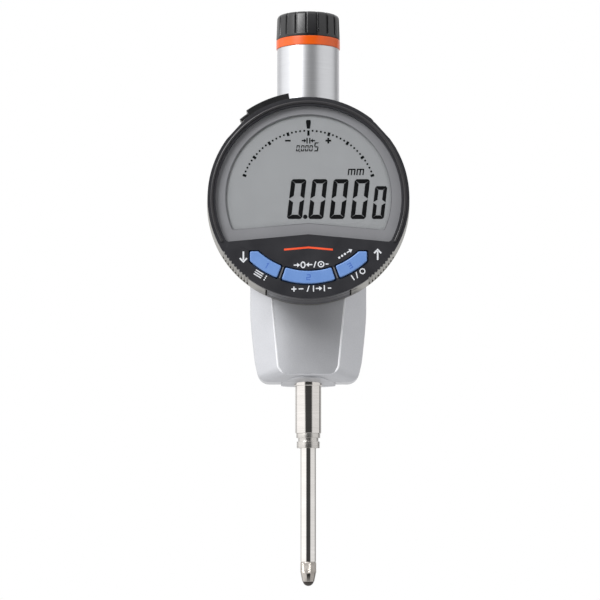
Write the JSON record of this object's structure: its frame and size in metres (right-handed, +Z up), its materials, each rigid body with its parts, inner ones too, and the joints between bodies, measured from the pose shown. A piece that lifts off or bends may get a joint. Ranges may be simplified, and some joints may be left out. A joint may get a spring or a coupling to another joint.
{
  "type": "dial indicator",
  "caption": "Electronic dial indicator: round swivelling display on a die-cast body, with a sprung spindle in a straight stem and a capped guard tube above.",
  "frame": {"origin": "on the spindle's axis, in the middle of the stem's 8 mm clamping length", "axes": "+Z runs up the spindle's axis from the contact point to the cap, and the display faces -Y"},
  "size_m": [0.061, 0.0523, 0.1738],
  "materials": {
    "cast_silver": "sand-blasted, satin clear-coated",
    "plate_metal": "satin silver",
    "tube_metal": "satin chrome plated, fine turning marks",
    "stem_steel": "ground and polished",
    "spindle_steel": "hardened, ground and polished",
    "nose_steel": "turned",
    "contact_steel": "turned, knurled",
    "carbide": "lapped",
    "screw_steel": "zinc plated",
    "spring_steel": "drawn wire",
    "bronze": "sintered",
    "accent_orange": "satin",
    "cap_black": "satin, ribbed",
    "head_silver": "metallic grey",
    "face_dark": "fine moulded texture",
    "lens_clear": "clear, polished",
    "frame_grey": "printed, satin",
    "lcd_grey": "reflective display",
    "holder_white": "moulded",
    "zebra_rubber": "layered silicone",
    "board_green": "solder mask",
    "chip_black": "moulded",
    "mat_rubber": "silicone",
    "contact_gold": "plated",
    "connector_black": "moulded",
    "button_blue": "satin",
    "cover_grey": "fine moulded texture",
    "tray_black": "moulded",
    "cell_steel": "polished",
    "seal_rubber": "matt",
    "block_metal": "milled",
    "scale_glass": "coated glass",
    "flex_amber": "film"
  },
  "bodies": {
    "body": {"main_housing": "cast_silver", "back_plate": "plate_metal", "back_seal": "seal_rubber", "back_screws": "screw_steel", "stem": "stem_steel", "lower_bushing": "nose_steel", "dust_seal": "seal_rubber", "upper_bushing": "bronze", "guard_tube": "tube_metal", "bump_stop": "seal_rubber", "return_spring": "spring_steel", "guide_rail": "spring_steel", "guide_screws": "screw_steel", "encoder_board": "board_green", "encoder_chips": "chip_black", "encoder_screws": "screw_steel", "flex_lead": "flex_amber", "swivel_seal": "seal_rubber", "wave_washer": "spring_steel", "swivel_retainer": "screw_steel", "retainer_screws": "screw_steel"},
    "cap_carrier": {"accent_ring": "accent_orange"},
    "cap": {"cap": "cap_black"},
    "spindle_assembly": {"spindle": "spindle_steel", "contact_shank": "contact_steel", "contact_ball": "carbide", "carrier_block": "block_metal", "carrier_screws": "screw_steel", "scale_strip": "scale_glass", "guide_pin": "spindle_steel", "end_screw": "screw_steel"},
    "display": {"display_case": "head_silver", "front_panel": "face_dark", "panel_seal": "seal_rubber", "lens": "lens_clear", "lcd_mask": "frame_grey", "lcd_panel": "lcd_grey", "lcd_holder": "holder_white", "zebra_strips": "zebra_rubber", "display_board": "board_green", "board_chips": "chip_black", "board_screws": "screw_steel", "key_mat": "mat_rubber", "battery_contacts": "contact_gold", "data_connector": "connector_black", "stop_pin": "spindle_steel"},
    "button_left": {"button_left": "button_blue"},
    "button_centre": {"button_centre": "button_blue"},
    "button_right": {"button_right": "button_blue"},
    "battery_drawer": {"battery_cover": "cover_grey", "battery_tray": "tray_black", "battery_cell": "cell_steel"},
    "connector_cap": {"connector_cap": "cap_black"}
  },
  "joints": [
    {"name": "spindle_slide", "type": "slide", "parent": "body", "child": "spindle_assembly", "axis": [0, 0, 1], "range_m": [0, 0.0254], "stiffness_N_per_m": 23.6, "springref_m": -0.0508, "deforming": ["return_spring"]},
    {"name": "display_turn", "type": "hinge", "parent": "body", "child": "display", "pos_m": [0, 0, 0.0614], "axis": [0, -1, 0], "range_deg": [-240, 90]},
    {"name": "cap_lift", "type": "slide", "parent": "body", "child": "cap_carrier", "axis": [0, 0, 1], "range_m": [0, 0.0045]},
    {"name": "cap_turn", "type": "hinge", "parent": "cap_carrier", "child": "cap", "pos_m": [0, 0, 0.115], "axis": [0, 0, 1], "range_deg": [0, 2160]},
    {"name": "press_left", "type": "slide", "parent": "display", "child": "button_left", "axis": [0, 1, 0], "range_m": [0, 0.0005], "stiffness_N_per_m": 3000, "springref_m": -0.0001},
    {"name": "press_centre", "type": "slide", "parent": "display", "child": "button_centre", "axis": [0, 1, 0], "range_m": [0, 0.0005], "stiffness_N_per_m": 3000, "springref_m": -0.0001},
    {"name": "press_right", "type": "slide", "parent": "display", "child": "button_right", "axis": [0, 1, 0], "range_m": [0, 0.0005], "stiffness_N_per_m": 3000, "springref_m": -0.0001},
    {"name": "battery_slide", "type": "slide", "parent": "display", "child": "battery_drawer", "axis": [0, 0, -1], "range_m": [0, 0.022]},
    {"name": "connector_cap_pull", "type": "slide", "parent": "display", "child": "connector_cap", "axis": [-0.3811, 0, 0.9245], "range_m": [0, 0.006]}
  ],
  "couplings": [
    {"joint": "cap_lift", "follows": "cap_turn", "m_per_rad": 0.00011937}
  ]
}
